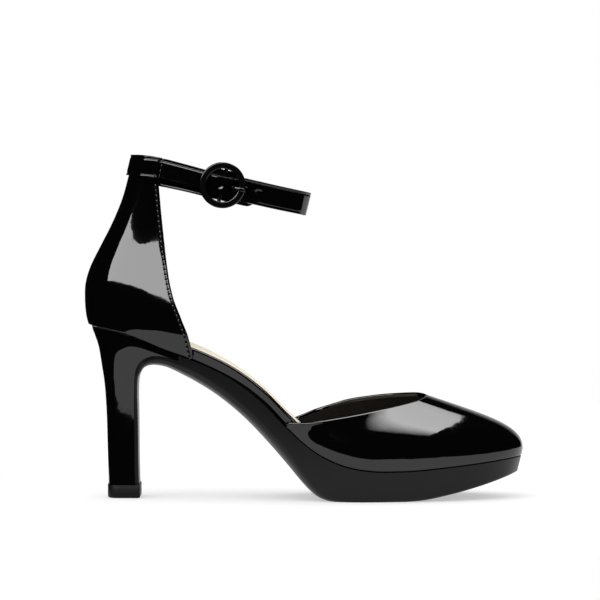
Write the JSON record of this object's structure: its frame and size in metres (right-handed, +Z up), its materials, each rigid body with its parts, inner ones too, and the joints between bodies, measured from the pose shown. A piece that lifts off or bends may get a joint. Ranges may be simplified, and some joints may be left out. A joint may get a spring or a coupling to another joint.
{
  "type": "ankle-strap platform pump",
  "caption": "Right ankle-strap platform pump in black patent, with a closed round toe, open waist, tall back, slim block heel, round buckle and tan sock lining.",
  "frame": {"origin": "centre of the shoe's plan box, on the floor that the heel tip and the forefoot stand on", "axes": "+X from the heel to the toe, +Y to the inner side of the foot, +Z up"},
  "size_m": [0.2263, 0.0796, 0.1767],
  "materials": {
    "patent_black": "high-gloss patent",
    "sole_black": "matte",
    "sock_tan": "matte",
    "buckle_black": "gloss lacquer"
  },
  "bodies": {
    "root": {"sole": "sole_black", "heel": "patent_black", "heel_tip": "sole_black", "insole_board": "patent_black", "sock": "sock_tan", "counter": "patent_black", "vamp": "patent_black", "strap_sleeve": "patent_black", "ankle_strap": "patent_black", "buckle_strap": "patent_black", "buckle_frame": "buckle_black", "buckle_prong": "buckle_black"}
  },
  "joints": []
}
